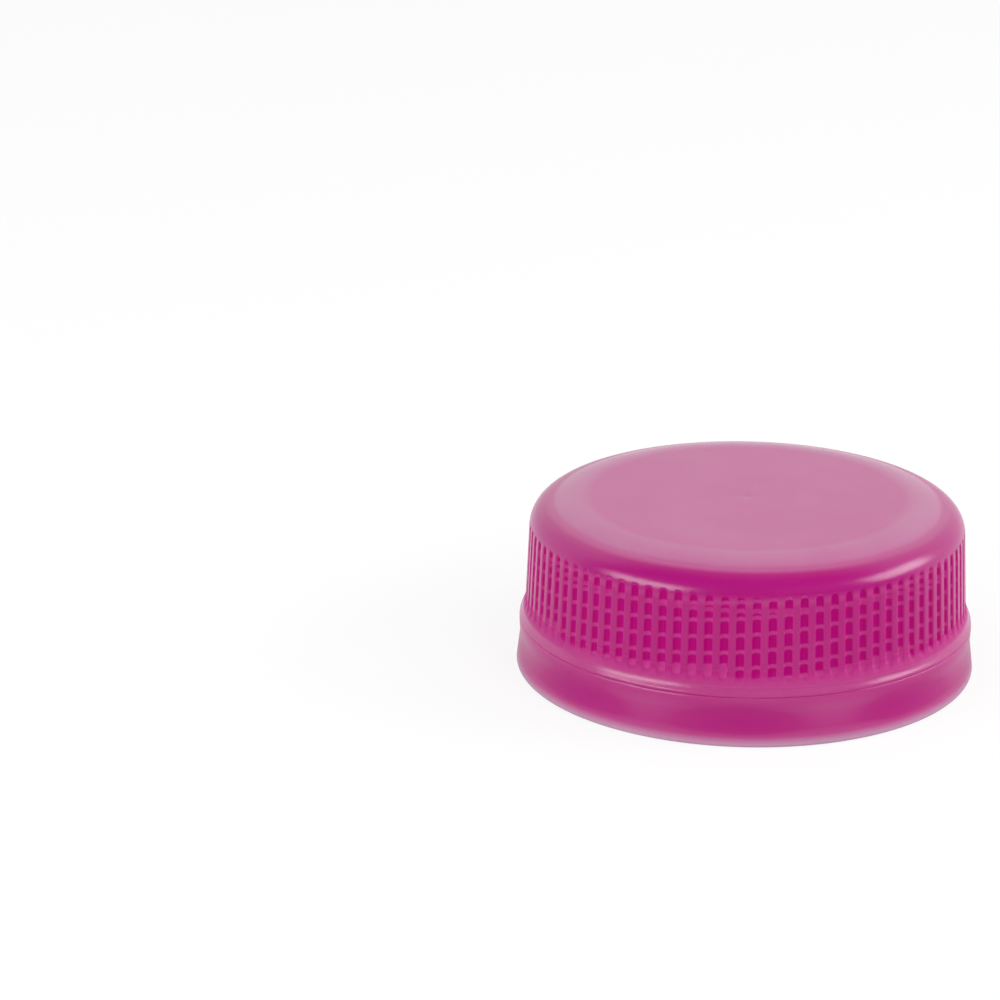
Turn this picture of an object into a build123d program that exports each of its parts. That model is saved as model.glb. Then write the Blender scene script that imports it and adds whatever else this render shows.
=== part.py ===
"""Tamper-evident screw cap, one moulding: shell, plug seal, thread, knurl, slit band and folded flap.

Millimetres, +Z up, origin at the centre of the rim that the cap stands on.
"""
from build123d import *
import math
import os

# Outside heights, from the rim that the cap stands on
cap_height = 15.6
crease_drop = 0.55
shoulder_drop = 2.5
bead_height = 4.3
skirt_foot_rise = 1.95
waist_below_bead = 1.3
slit_above_bead = 0.2
rim_round = 0.35

# Outside radii: the band's foot, then steps inward and upward from it
band_foot_radius = 20.5
band_flare = 0.33
waist_depth = 0.08
bead_step = 0.53
skirt_draft = 0.34
shoulder_run = 2.08
crown_run = 2.9
gate_radius = 0.5
gate_depth = 0.05

# Walls, the plug seal and the room that the bottle's lip takes
skirt_wall = 0.83
panel_thickness = 1.2
panel_fillet = 0.5
land_thickness = 1.55
land_fillet = 0.6
lip_room = 2.05
plug_seal_bulge = 0.35
plug_seal_rise = 0.75
plug_tip_thickness = 0.9
plug_tip_inner_fillet = 0.405
plug_tip_outer_fillet = 0.36
plug_lean = 1.05
plug_root_thickness = 1.8
plug_length = 2.6

# Knurl on the skirt: round-bottomed grooves between flat ribs
knurl_count = 90
knurl_start_angle = 1.15
groove_radius = 0.38
groove_depth = 0.34
groove_runout_radius = 0.62
groove_runout_turn = 90.0
groove_foot_clearance = 0.15
groove_top_clearance = 0.05

# Thread inside the skirt: many thin right-hand starts
thread_starts = 7
thread_lead = 10.34
thread_height = 0.4
thread_base_width = 0.62
thread_crest_width = 0.22
thread_sink = 0.2
thread_turn = 200.0
thread_start_angle = 32.73
thread_foot_clearance = 0.165

# Tamper band: wall, the cut that lets it break off, and the bridges left in it
band_thickness = 0.65
band_lead_in = 0.75
band_lead_clearance = 0.455
slit_width = 0.08
slit_blade_clearance = 0.5
bridge_count = 12
bridge_width = 1.1

# Flap folded in from the rim, its pleats and the relief pockets at its fold
flap_fold_inset = 0.17
flap_fold_round = 0.3
flap_reach = 2.0
flap_free_height = 2.5
flap_thickness = 0.55
flap_segments = 8
flap_first_pleat_angle = 22.5
pleat_depth = 0.3
pleat_width = 0.75
pleat_fold_distance = 0.7
open_pleats = (0, 4)
open_pleat_width = 1.3
pocket_length = 1.0
pocket_width = 1.5
pocket_depth = 0.25
pocket_corner = 0.3
pocket_fold_distance = 0.55

# Derived radii
waist_radius = band_foot_radius - band_flare
bead_radius = waist_radius + waist_depth
skirt_foot_radius = bead_radius - bead_step
skirt_top_radius = skirt_foot_radius - skirt_draft
crease_radius = skirt_top_radius - shoulder_run
panel_radius = crease_radius - crown_run
thread_root_radius = skirt_top_radius - skirt_wall
plug_seal_radius = thread_root_radius - lip_room
plug_tip_outer = plug_seal_radius - plug_seal_bulge
plug_tip_radius = plug_tip_outer - plug_tip_thickness
plug_root_radius = plug_tip_radius - plug_lean
plug_outer_root = plug_root_radius + plug_root_thickness
band_inner_radius = waist_radius - band_thickness
flap_fold_radius = band_inner_radius - flap_fold_inset
flap_free_radius = flap_fold_radius - flap_reach

# Derived heights
crease_height = cap_height - crease_drop
shoulder_height = crease_height - shoulder_drop
land_height = crease_height - land_thickness
panel_inside = cap_height - panel_thickness
plug_tip_height = panel_inside - plug_length
skirt_foot_height = bead_height + skirt_foot_rise
waist_height = bead_height - waist_below_bead
slit_height = bead_height + slit_above_bead
band_lead_height = slit_height + slit_width + band_lead_clearance
thread_zone_height = band_lead_height + band_lead_in
thread_foot_height = thread_zone_height + thread_foot_clearance

# The flap's section: along its run from the fold, and across its thickness
flap_run = flap_free_radius - flap_fold_radius
flap_length = math.hypot(flap_run, flap_free_height)
flap_along = (flap_run / flap_length, flap_free_height / flap_length)
flap_across = (flap_along[1], -flap_along[0])


def shell_profile():
    """Half section of the shell, plug seal and band, as radius and height."""
    skirt_slope = (skirt_top_radius - skirt_foot_radius, shoulder_height - skirt_foot_height)
    with BuildSketch() as section:
        with BuildLine():
            Line((0, cap_height), (panel_radius, cap_height))
            TangentArc((panel_radius, cap_height), (crease_radius, crease_height), tangent=(1, 0))
            TangentArc(
                (skirt_top_radius, shoulder_height), (crease_radius, crease_height), tangent=skirt_slope
            )
            Line((skirt_top_radius, shoulder_height), (skirt_foot_radius, skirt_foot_height))
            TangentArc((bead_radius, bead_height), (skirt_foot_radius, skirt_foot_height), tangent=(0, 1))
            TangentArc((bead_radius, bead_height), (waist_radius, waist_height), tangent=(0, -1))
            Line((waist_radius, waist_height), (band_foot_radius, rim_round))
            TangentArc((band_foot_radius, rim_round), (band_foot_radius - rim_round, 0), tangent=(0, -1))
            Line((band_foot_radius - rim_round, 0), (band_inner_radius, 0))
            Line((band_inner_radius, 0), (band_inner_radius, band_lead_height))
            Line((band_inner_radius, band_lead_height), (thread_root_radius, thread_zone_height))
            Line((thread_root_radius, thread_zone_height), (thread_root_radius, land_height))
            Line((thread_root_radius, land_height), (plug_outer_root, land_height))
            ThreePointArc(
                (plug_outer_root, land_height),
                (plug_seal_radius, plug_tip_height + plug_seal_rise),
                (plug_tip_outer, plug_tip_height),
            )
            Line((plug_tip_outer, plug_tip_height), (plug_tip_radius, plug_tip_height))
            Line((plug_tip_radius, plug_tip_height), (plug_root_radius, panel_inside))
            Line((plug_root_radius, panel_inside), (0, panel_inside))
            Line((0, panel_inside), (0, cap_height))
        make_face()
        soften(section, thread_root_radius, land_height, land_fillet)
        soften(section, plug_root_radius, panel_inside, panel_fillet)
        soften(section, plug_tip_radius, plug_tip_height, plug_tip_inner_fillet)
        soften(section, plug_tip_outer, plug_tip_height, plug_tip_outer_fillet)
    return section.sketch


def soften(section, radius, height, size):
    """Round the corner of a section that stands at a radius and height."""
    corner = section.vertices().sort_by_distance((radius, height))[0]
    fillet(corner, size)


def flap_point(along, across):
    """A point on the flap's section, from its fold, along its run and through its thickness."""
    return (
        flap_fold_radius + flap_along[0] * along + flap_across[0] * across,
        flap_along[1] * along + flap_across[1] * across,
    )


def flap_profile():
    """Half section of the flap that folds in from the rim, with a round free edge."""
    half = flap_thickness / 2
    tip_low = flap_point(flap_length - half, 0)
    tip_end = flap_point(flap_length, half)
    tip_high = flap_point(flap_length - half, flap_thickness)
    seat = band_inner_radius + band_thickness / 2
    root_along = (seat - flap_fold_radius - flap_across[0] * flap_thickness) / flap_along[0]
    root = flap_point(root_along, flap_thickness)
    with BuildSketch() as section:
        with BuildLine():
            Line((seat, 0), (flap_fold_radius, 0))
            Line((flap_fold_radius, 0), tip_low)
            ThreePointArc(tip_low, tip_end, tip_high)
            Line(tip_high, root)
            Line(root, (seat, 0))
        make_face()
        soften(section, flap_fold_radius, 0, flap_fold_round)
    return section.sketch


def spun(section, arc=360):
    """A section in radius and height, spun about the cap's axis."""
    return revolve(Plane.XZ * section, Axis.Z, revolution_arc=arc)


def around(shape, count, first_angle):
    """Equal copies of a shape, turned about the cap's axis."""
    return [Rot(0, 0, first_angle + 360 / count * index) * shape for index in range(count)]


def thread_ridge():
    """One start of the thread: a thin ridge on the skirt's inner wall, sunk a little into it."""
    turn_share = thread_turn / 360
    helix = Helix(thread_lead, thread_lead * turn_share, thread_root_radius)
    across = Plane(origin=helix @ 0, x_dir=(1, 0, 0), z_dir=helix % 0)
    slope = (thread_base_width - thread_crest_width) / (2 * thread_height)
    half_sunk = thread_base_width / 2 + thread_sink * slope
    half_crest = thread_crest_width / 2
    outline = Polyline(
        (thread_sink, -half_sunk),
        (thread_sink, half_sunk),
        (-thread_height, half_crest),
        (-thread_height, -half_crest),
        (thread_sink, -half_sunk),
    )
    ridge = sweep(across * make_face(outline), path=helix, is_frenet=True)
    return Pos(0, 0, thread_foot_height) * ridge


def groove_cutter():
    """One knurl groove: a round rod along the skirt, bent out of it at both ends."""
    lift = groove_radius - groove_depth
    foot_z = skirt_foot_height + groove_foot_clearance
    top_z = shoulder_height - groove_top_clearance
    draft = (skirt_top_radius - skirt_foot_radius) / (shoulder_height - skirt_foot_height)
    foot = (skirt_foot_radius + lift + draft * (foot_z - skirt_foot_height), foot_z)
    top = (skirt_top_radius + lift + draft * (top_z - shoulder_height), top_z)
    run = Line(foot, top)
    below = JernArc(foot, run.tangent_at(0) * -1, groove_runout_radius, groove_runout_turn)
    above = JernArc(top, run.tangent_at(1), groove_runout_radius, -groove_runout_turn)
    path = Plane.XZ * Wire([below, run, above])
    start = Plane(origin=path @ 0, z_dir=path % 0)
    return sweep(start * Circle(groove_radius), path=path)


def flap_plane():
    """A plane on the flap's visible face: X across the flap, Y along it, from its fold."""
    origin = (flap_fold_radius, 0, 0)
    along = Vector(flap_along[0], 0, flap_along[1])
    return Plane(origin=origin, x_dir=(0, 1, 0), z_dir=Vector(0, 1, 0).cross(along))


def pleat_cutter(width, depth):
    """A wedge cut in the flap's visible face, from a point near the fold to the free edge."""
    reach = flap_length + flap_thickness
    wedge = make_face(
        Polyline(
            (0, pleat_fold_distance),
            (width / 2, reach),
            (-width / 2, reach),
            (0, pleat_fold_distance),
        )
    )
    return extrude(flap_plane() * wedge, amount=depth, both=True)


def pocket_cutter():
    """A shallow oblong pocket beside the fold, half way between two pleats."""
    middle = pocket_fold_distance + pocket_length / 2
    oblong = Pos(0, middle) * RectangleRounded(pocket_width, pocket_length, pocket_corner)
    return extrude(flap_plane() * oblong, amount=pocket_depth, both=True)


def slit_cutter():
    """One stretch of the cut between two bridges, right through the band's wall."""
    pitch = 360 / bridge_count
    bridge_angle = math.degrees(bridge_width / bead_radius)
    reach = bead_radius - band_inner_radius + 2 * slit_blade_clearance
    blade = Pos((bead_radius + band_inner_radius) / 2, slit_height) * Rectangle(reach, slit_width)
    return Rot(0, 0, bridge_angle / 2) * spun(blade, pitch - bridge_angle)


def screw_cap():
    """The whole moulding."""
    rib_middle = knurl_start_angle + 180 / knurl_count
    cap = Rot(0, 0, rib_middle) * (spun(shell_profile()) + spun(flap_profile()))
    cap += around(thread_ridge(), thread_starts, thread_start_angle)
    cap -= around(groove_cutter(), knurl_count, knurl_start_angle)
    cap -= around(slit_cutter(), bridge_count, knurl_start_angle)
    pleats = around(pleat_cutter(pleat_width, pleat_depth), flap_segments, flap_first_pleat_angle)
    gaps = around(pleat_cutter(open_pleat_width, 2 * flap_thickness), flap_segments, flap_first_pleat_angle)
    cap -= [gaps[index] if index in open_pleats else pleat for index, pleat in enumerate(pleats)]
    pocket_angle = flap_first_pleat_angle + 180 / flap_segments
    cap -= around(pocket_cutter(), flap_segments, pocket_angle)
    cap -= Pos(0, 0, cap_height) * Cylinder(gate_radius, 2 * gate_depth)
    return cap


os.makedirs("parts", exist_ok=True)
cap = screw_cap()
export_step(cap, "parts/screw_cap.step")
print("volume", round(cap.volume, 1), "solids", len(cap.solids()), "valid", cap.is_valid)
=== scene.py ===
"""A tamper-evident screw cap for a wide bottle neck, one moulding of pink polyethylene.

Lengths are millimetres until a mesh is finished. +Z is up and the cap stands on its rim at the origin.
"""
import logging
import math
from collections.abc import Callable, Iterable
from dataclasses import dataclass, field
from enum import IntEnum
from functools import partial

import bmesh
import bpy
from bmesh.types import BMesh
from bpy.types import Node, NodeSocket, NodeTree
from mathutils import Matrix, Vector


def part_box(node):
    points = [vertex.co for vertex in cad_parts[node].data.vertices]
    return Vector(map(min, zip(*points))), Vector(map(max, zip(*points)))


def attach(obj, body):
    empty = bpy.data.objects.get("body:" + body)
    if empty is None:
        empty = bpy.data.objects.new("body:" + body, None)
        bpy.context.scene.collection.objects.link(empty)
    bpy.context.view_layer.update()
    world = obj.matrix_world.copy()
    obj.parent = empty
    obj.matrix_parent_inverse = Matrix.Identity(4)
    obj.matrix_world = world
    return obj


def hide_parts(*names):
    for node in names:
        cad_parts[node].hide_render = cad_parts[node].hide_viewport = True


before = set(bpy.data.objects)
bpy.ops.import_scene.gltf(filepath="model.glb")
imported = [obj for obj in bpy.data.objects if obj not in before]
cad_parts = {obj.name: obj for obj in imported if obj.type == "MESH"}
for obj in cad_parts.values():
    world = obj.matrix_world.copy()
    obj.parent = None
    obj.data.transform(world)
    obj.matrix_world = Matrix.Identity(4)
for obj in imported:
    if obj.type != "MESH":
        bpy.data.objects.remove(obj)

LOG = logging.getLogger("screw_cap")
MILLIMETRE = 0.001
BAND_FOOT_RADIUS = 20.5
SAME = 0.001  # radii and heights closer than this, in millimetres, are one and the same
Place = tuple[float, float]
Shares = tuple[float, ...]


class Zone(IntEnum):
    """The stretch of the half section that a row of the moulding belongs to."""

    PANEL = 0
    SHOULDER = 1
    SKIRT = 2
    BEAD = 3
    BAND = 4
    RIM = 5
    FLAP = 6
    WALL = 7
    PLUG = 8
    CEILING = 9


def ease(share: float) -> float:
    """A share from 0 to 1 that starts and ends gently."""
    share = min(1.0, max(0.0, share))
    return share * share * (3.0 - 2.0 * share)


def ease_between(value: float, zero: float, one: float) -> float:
    """A gentle step that is 0 at one value and 1 at the other."""
    return ease((value - zero) / (one - zero))


def soft_min(first: float, second: float, softness: float) -> float:
    """The smaller of two values, with the change from one to the other rounded over a softness."""
    blend = max(softness - abs(first - second), 0.0) / softness
    return min(first, second) - blend * blend * softness / 4.0


@dataclass(frozen=True)
class Arc:
    """An arc in the half section's plane, in radius and height."""

    centre: Place
    size: float
    start: float
    sweep: float

    @classmethod
    def leaving(cls, start: Place, end: Place, along: Place) -> "Arc":
        """The arc that leaves one place in a direction and ends at another.

        Args:
            start: Where the arc starts.
            end: Where it ends.
            along: The direction in which it leaves its start.

        Returns:
            The arc.
        """
        run = (end[0] - start[0], end[1] - start[1])
        length = math.hypot(*along)
        normal = (-along[1] / length, along[0] / length)
        reach = (run[0] ** 2 + run[1] ** 2) / (2.0 * (run[0] * normal[0] + run[1] * normal[1]))
        centre = (start[0] + normal[0] * reach, start[1] + normal[1] * reach)
        first = math.atan2(start[1] - centre[1], start[0] - centre[0])
        last = math.atan2(end[1] - centre[1], end[0] - centre[0])
        turn = (last - first) % math.tau if reach > 0 else -((first - last) % math.tau)
        return cls(centre, abs(reach), first, turn)

    @classmethod
    def rounding(cls, before: Place, corner: Place, after: Place, size: float) -> "Arc":
        """The arc that rounds a corner between two straight runs.

        Args:
            before: A place on the run that comes to the corner.
            corner: The sharp corner.
            after: A place on the run that leaves it.
            size: The arc's radius.

        Returns:
            The arc.
        """
        come = (Vector(before) - Vector(corner)).normalized()
        leave = (Vector(after) - Vector(corner)).normalized()
        half = come.angle(leave) / 2.0
        cut = size / math.tan(half)
        first = Vector(corner) + come * cut
        last = Vector(corner) + leave * cut
        return cls.leaving(tuple(first), tuple(last), tuple(-come))

    def at(self, share: float) -> Place:
        """The place at a share of the arc's length from its start."""
        angle = self.start + self.sweep * share
        return self.centre[0] + self.size * math.cos(angle), self.centre[1] + self.size * math.sin(angle)

    def steps(self, count: int) -> list[Place]:
        """Evenly spaced places on the arc, its start left out."""
        return [self.at((index + 1) / count) for index in range(count)]


@dataclass(frozen=True)
class CapForm:
    """The cap's sizes. Radii step in from the band's foot, heights up from the rim."""

    band_foot_radius: float
    cap_height: float
    crease_drop: float = 0.55
    shoulder_drop: float = 2.15
    bead_height: float = 4.3
    skirt_foot_rise: float = 1.8
    waist_below_bead: float = 1.3
    slit_above_bead: float = 0.2
    rim_round: float = 0.35
    band_flare: float = 0.33
    waist_depth: float = 0.08
    bead_step: float = 0.55
    skirt_draft: float = 0.32
    shoulder_run: float = 2.08
    crown_run: float = 2.9
    gate_radius: float = 0.5
    gate_depth: float = 0.05
    skirt_wall: float = 0.83
    panel_thickness: float = 1.2
    panel_fillet: float = 0.5
    land_thickness: float = 1.55
    land_fillet: float = 0.6
    lip_room: float = 2.05
    plug_seal_bulge: float = 0.35
    plug_seal_rise: float = 0.75
    plug_tip_thickness: float = 0.9
    plug_tip_fillet: float = 0.36
    plug_lean: float = 1.05
    plug_root_thickness: float = 1.8
    plug_length: float = 2.6
    band_thickness: float = 0.65
    band_lead_in: float = 0.75
    band_lead_clearance: float = 0.505
    slit_width: float = 0.03
    slit_lip: float = 0.035
    flare_steps: tuple[Place, Place, Place] = ((0.287, -1.0), (0.49, -1.35), (0.53, -1.525))
    flap_fold_inset: float = 0.17
    flap_fold_round: float = 0.3
    flap_reach: float = 2.0
    flap_free_height: float = 2.5
    flap_thickness: float = 0.55

    @property
    def waist(self) -> Place:
        """The shallow waist of the tamper band."""
        return self.band_foot_radius - self.band_flare, self.bead_height - self.waist_below_bead

    @property
    def bead(self) -> Place:
        """The widest place of the bead over the band."""
        return self.waist[0] + self.waist_depth, self.bead_height

    @property
    def skirt_foot(self) -> Place:
        """Where the knurled skirt meets the bead."""
        return self.bead[0] - self.bead_step, self.bead_height + self.skirt_foot_rise

    @property
    def flare(self) -> tuple[Place, ...]:
        """The bead's slope under the skirt: where it turns outwards, turns upright, and its lower lip."""
        return tuple((self.skirt_foot[0] + out, self.skirt_foot[1] + up) for out, up in self.flare_steps)

    @property
    def crease(self) -> Place:
        """The soft ring between the shoulder and the crown of the top."""
        return self.skirt_top[0] - self.shoulder_run, self.cap_height - self.crease_drop

    @property
    def skirt_top(self) -> Place:
        """Where the skirt runs into the shoulder."""
        radius = self.skirt_foot[0] - self.skirt_draft
        return radius, self.cap_height - self.crease_drop - self.shoulder_drop

    @property
    def panel_radius(self) -> float:
        """The flat panel's radius."""
        return self.crease[0] - self.crown_run

    @property
    def thread_root_radius(self) -> float:
        """The skirt's inner wall, which the thread stands on."""
        return self.skirt_top[0] - self.skirt_wall

    @property
    def band_inner_radius(self) -> float:
        """The band's inner wall."""
        return self.waist[0] - self.band_thickness

    @property
    def slit_height(self) -> float:
        """The middle of the slit between the band and the skirt."""
        return self.bead_height + self.slit_above_bead

    @property
    def thread_zone_height(self) -> float:
        """Where the inner wall has stepped in to the thread's root."""
        return self.slit_height + self.slit_width + self.band_lead_clearance + self.band_lead_in

    @property
    def land_height(self) -> float:
        """The underside that the bottle's lip comes up to."""
        return self.crease[1] - self.land_thickness

    @property
    def ceiling(self) -> float:
        """The panel's underside."""
        return self.cap_height - self.panel_thickness

    @property
    def flap_along(self) -> Vector:
        """The direction from the flap's fold to its free edge, in radius and height."""
        return Vector((-self.flap_reach, self.flap_free_height)).normalized()

    @property
    def flap_across(self) -> Vector:
        """The direction through the flap's thickness, away from its visible face."""
        return Vector((self.flap_along.y, -self.flap_along.x))

    @property
    def flap_fold(self) -> Vector:
        """The corner of the fold between the rim and the flap's visible face."""
        return Vector((self.band_inner_radius - self.flap_fold_inset, 0.0))

    @property
    def flap_length(self) -> float:
        """From the fold to the flap's free edge."""
        return math.hypot(self.flap_reach, self.flap_free_height)

    def flap_place(self, along: float, across: float) -> Place:
        """A place on the flap's section, along its run and through its thickness."""
        place = self.flap_fold + self.flap_along * along + self.flap_across * across
        return place.x, place.y


THIRDS = (0.0, 0.33, 0.67, 1.0)
QUARTERS = (0.0, 0.25, 0.5, 0.75, 1.0)
HALVES = (0.0, 0.5, 1.0)


@dataclass
class HalfSection:
    """Half of the cap's section, from the middle of the top round the rim to the panel's underside.

    Rows stand closer where the surface turns. A row is a radius, or a share of the run or arc it stands on.
    """

    form: CapForm
    rows: list[tuple[float, float, Zone]] = field(default_factory=list)
    gate: tuple[Place, ...] = ((0.0, 1.0), (0.4, 0.9), (0.8, 0.6), (1.2, 0.25), (1.6, 0.05), (2.0, 0.0))
    panel: Shares = (1.4, 4.0, 7.5, 10.5, 12.6, 13.8)
    crown: Shares = (0.1, 0.22, 0.36, 0.5, 0.64, 0.78, 0.9, 0.97)
    crease_lift: float = 0.012
    shoulder: Shares = (0.975, 0.93, 0.87, 0.8, 0.73, 0.66, 0.59, 0.52, 0.45, 0.39, 0.34, 0.3, 0.265, 0.23)
    shoulder_foot: Shares = (0.195, 0.16, 0.125, 0.09, 0.055, 0.025, 0.0)
    skirt: Shares = (
        0.016, 0.032, 0.048, 0.064, 0.085, 0.11, 0.18, 0.3, 0.45, 0.6, 0.74, 0.84, 0.89, 0.92, 0.95,
    )
    slope: Shares = (0.27, 0.39, 0.51, 0.63, 0.76)
    foot_round: float = 1.0
    hollow_round: float = 1.2
    crest_round: float = 0.35
    lip_share: float = 0.3
    lip_rise: float = 0.04
    lip_reach: float = 0.08
    waist: Shares = (0.25, 0.5, 0.75, 0.9)
    band: Shares = (0.05, 0.25, 0.5, 0.75, 1.0)
    rim_flat: float = 0.45
    rim_steps: int = 5
    flap_face: Shares = (0.46, 0.56, 0.66, 0.78, 1.0, 1.36, 1.5, 1.62, 1.9, 2.3, 2.65)
    flap_back: Shares = (2.4, 1.8, 1.2, 0.75)
    flap_steps: int = 6
    corner_round: float = 0.12
    wall_row: float = 2.2
    slit_row: float = 0.1
    thread_row: float = 9.0
    root_clearance: float = 0.15
    plug_corner: tuple[Place, Place] = ((0.12, 0.0), (0.03, -0.03))
    plug_upper: Shares = (0.15, 0.4, 0.7, 1.0)
    plug_lower: Shares = (0.7, 0.5)
    plug_inside: Shares = (0.45, 0.7)
    underside: Shares = (12.5, 9.0, 5.0, 2.0, 0.0)

    def add(self, zone: Zone, places: Iterable[Place]) -> None:
        """Adds rows to the end of the section."""
        self.rows.extend((radius, height, zone) for radius, height in places)

    def add_arc(self, zone: Zone, arc: Arc, shares: Shares) -> None:
        """Adds rows at shares of an arc's length."""
        self.add(zone, [arc.at(share) for share in shares])

    def add_run(self, zone: Zone, first: Place, last: Place, shares: Shares) -> None:
        """Adds rows at shares of a straight run."""
        self.add(zone, [self.between(first, last, share) for share in shares])

    def draw(self) -> list[tuple[float, float, Zone]]:
        """The whole section.

        Returns:
            Radius, height and zone of each row.
        """
        self.draw_top()
        self.draw_bead()
        self.draw_band()
        self.draw_flap()
        self.draw_inside()
        self.draw_plug()
        return self.rows

    def draw_top(self) -> None:
        """Adds the panel with its gate mark, the crown, the shoulder and the skirt."""
        form = self.form
        top, crease = form.cap_height, form.crease
        gate = [(form.gate_radius * reach, top - form.gate_depth * share) for reach, share in self.gate]
        self.add(Zone.PANEL, gate + [(radius, top) for radius in (*self.panel, form.panel_radius)])
        self.add_arc(Zone.SHOULDER, Arc.leaving((form.panel_radius, top), crease, (1.0, 0.0)), self.crown)
        self.add(Zone.SHOULDER, [(crease[0], crease[1] + self.crease_lift)])
        draft = (form.skirt_top[0] - form.skirt_foot[0], form.skirt_top[1] - form.skirt_foot[1])
        shoulder = Arc.leaving(form.skirt_top, crease, draft)
        self.add_arc(Zone.SHOULDER, shoulder, self.shoulder)
        self.add_arc(Zone.SKIRT, shoulder, self.shoulder_foot)
        self.add_run(Zone.SKIRT, form.skirt_top, form.skirt_foot, self.skirt)

    def draw_bead(self) -> None:
        """Adds the skirt's foot, the bead's slope and the lips of the slit."""
        form = self.form
        turn, brow, lip = form.flare
        self.add_arc(Zone.SKIRT, Arc.rounding(form.skirt_top, form.skirt_foot, turn, self.foot_round), THIRDS)
        self.add_run(Zone.SKIRT, form.skirt_foot, turn, self.slope)
        self.add_arc(Zone.BEAD, Arc.rounding(form.skirt_foot, turn, brow, self.hollow_round), HALVES)
        self.add_arc(Zone.BEAD, Arc.rounding(turn, brow, lip, self.crest_round), QUARTERS)
        slit = form.slit_height
        edge = (lip[0] - form.slit_lip, form.slit_width / 2.0)
        rounded = (lip[0] - form.slit_lip * self.lip_share, self.lip_rise)
        self.add(Zone.BEAD, [lip] + [(radius, slit + away) for radius, away in (rounded, edge)])
        widest = (form.bead[0], self.lip_reach)
        self.add(Zone.BAND, [(radius, slit - away) for radius, away in (edge, rounded, widest)])

    def draw_band(self) -> None:
        """Adds the tamper band's outside and the rim's rounding."""
        form = self.form
        self.add_arc(Zone.BAND, Arc.leaving(form.bead, form.waist, (0.0, -1.0)), self.waist)
        foot = (form.band_foot_radius, form.rim_round)
        self.add_run(Zone.BAND, form.waist, foot, self.band)
        rim = Arc.leaving(foot, (foot[0] - form.rim_round, 0.0), (0.0, -1.0))
        self.add(Zone.RIM, rim.steps(self.rim_steps))

    def draw_flap(self) -> None:
        """Adds the folded flap: its visible face, round free edge and back."""
        form = self.form
        fold, thick = form.flap_fold, form.flap_thickness
        self.add(Zone.RIM, [(fold.x + self.rim_flat, 0.0)])
        rim, face = (form.band_foot_radius, 0.0), form.flap_place(1.0, 0.0)
        self.add_arc(Zone.FLAP, Arc.rounding(rim, tuple(fold), face, form.flap_fold_round), THIRDS)
        edge = form.flap_length - thick / 2.0
        self.add(Zone.FLAP, [form.flap_place(along, 0.0) for along in (*self.flap_face, edge)])
        front, back = form.flap_place(edge, 0.0), form.flap_place(edge, thick)
        self.add(Zone.FLAP, Arc.leaving(front, back, tuple(form.flap_along)).steps(self.flap_steps))
        self.add(Zone.FLAP, [form.flap_place(along, thick) for along in self.flap_back])

    def draw_inside(self) -> None:
        """Adds the band's and the skirt's inner walls and the land that meets the bottle's lip."""
        form = self.form
        wall, root, thick = form.band_inner_radius, form.thread_root_radius, form.flap_thickness
        meet = form.flap_place((wall - form.flap_place(0.0, thick)[0]) / form.flap_along.x, thick)
        shelf = form.thread_zone_height
        start = shelf - form.band_lead_in
        corner = Arc.rounding(form.flap_place(2.0, thick), meet, (wall, start), self.corner_round)
        self.add_arc(Zone.WALL, corner, HALVES)
        upper = form.slit_height + form.slit_width / 2.0
        lower = form.slit_height - form.slit_width / 2.0
        rows = (self.wall_row, lower - self.slit_row, lower, upper, start)
        self.add(Zone.WALL, [(wall, height) for height in rows])
        rows = (shelf, shelf + self.root_clearance, self.thread_row)
        self.add(Zone.WALL, [(root, height) for height in rows])
        outer, land = self.plug_root()[1], form.land_height
        fillet = Arc.rounding((root, self.thread_row), (root, land), (outer, land), form.land_fillet)
        self.add_arc(Zone.WALL, fillet, QUARTERS)
        self.add(Zone.PLUG, [(outer + out, land + up) for out, up in self.plug_corner])

    def plug_root(self) -> tuple[float, float]:
        """The plug seal's radii at its root.

        Returns:
            The inner and the outer radius.
        """
        form = self.form
        seal = form.thread_root_radius - form.lip_room
        inner = seal - form.plug_seal_bulge - form.plug_tip_thickness - form.plug_lean
        return inner, inner + form.plug_root_thickness

    def draw_plug(self) -> None:
        """Adds the plug seal and the panel's underside."""
        form = self.form
        inner, outer = self.plug_root()
        low = form.ceiling - form.plug_length
        widest = (form.thread_root_radius - form.lip_room, low + form.plug_seal_rise)
        tip_out = (widest[0] - form.plug_seal_bulge, low)
        tip_in = (tip_out[0] - form.plug_tip_thickness, low)
        root, land = (inner, form.ceiling), (outer, form.land_height)
        self.add(Zone.PLUG, [self.bulge(land, widest, share) for share in self.plug_upper])
        self.add(Zone.PLUG, [self.bulge(tip_out, widest, share) for share in self.plug_lower])
        self.add_arc(Zone.PLUG, Arc.rounding(widest, tip_out, tip_in, form.plug_tip_fillet), THIRDS)
        self.add_arc(Zone.PLUG, Arc.rounding(tip_out, tip_in, root, form.plug_tip_fillet), THIRDS)
        self.add_run(Zone.PLUG, tip_in, root, self.plug_inside)
        self.add_arc(Zone.PLUG, Arc.rounding(tip_in, root, (0.0, form.ceiling), form.panel_fillet), THIRDS)
        self.add(Zone.CEILING, [(radius, form.ceiling) for radius in self.underside])

    @staticmethod
    def between(first: Place, last: Place, share: float) -> Place:
        """A place on the straight run between two places."""
        return first[0] + (last[0] - first[0]) * share, first[1] + (last[1] - first[1]) * share

    @staticmethod
    def bulge(first: Place, widest: Place, share: float) -> Place:
        """A place on a quarter wave that leaves one place and stands upright at the widest one."""
        swell = math.sin(share * math.pi / 2.0)
        return first[0] + (widest[0] - first[0]) * swell, first[1] + (widest[1] - first[1]) * share


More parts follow.
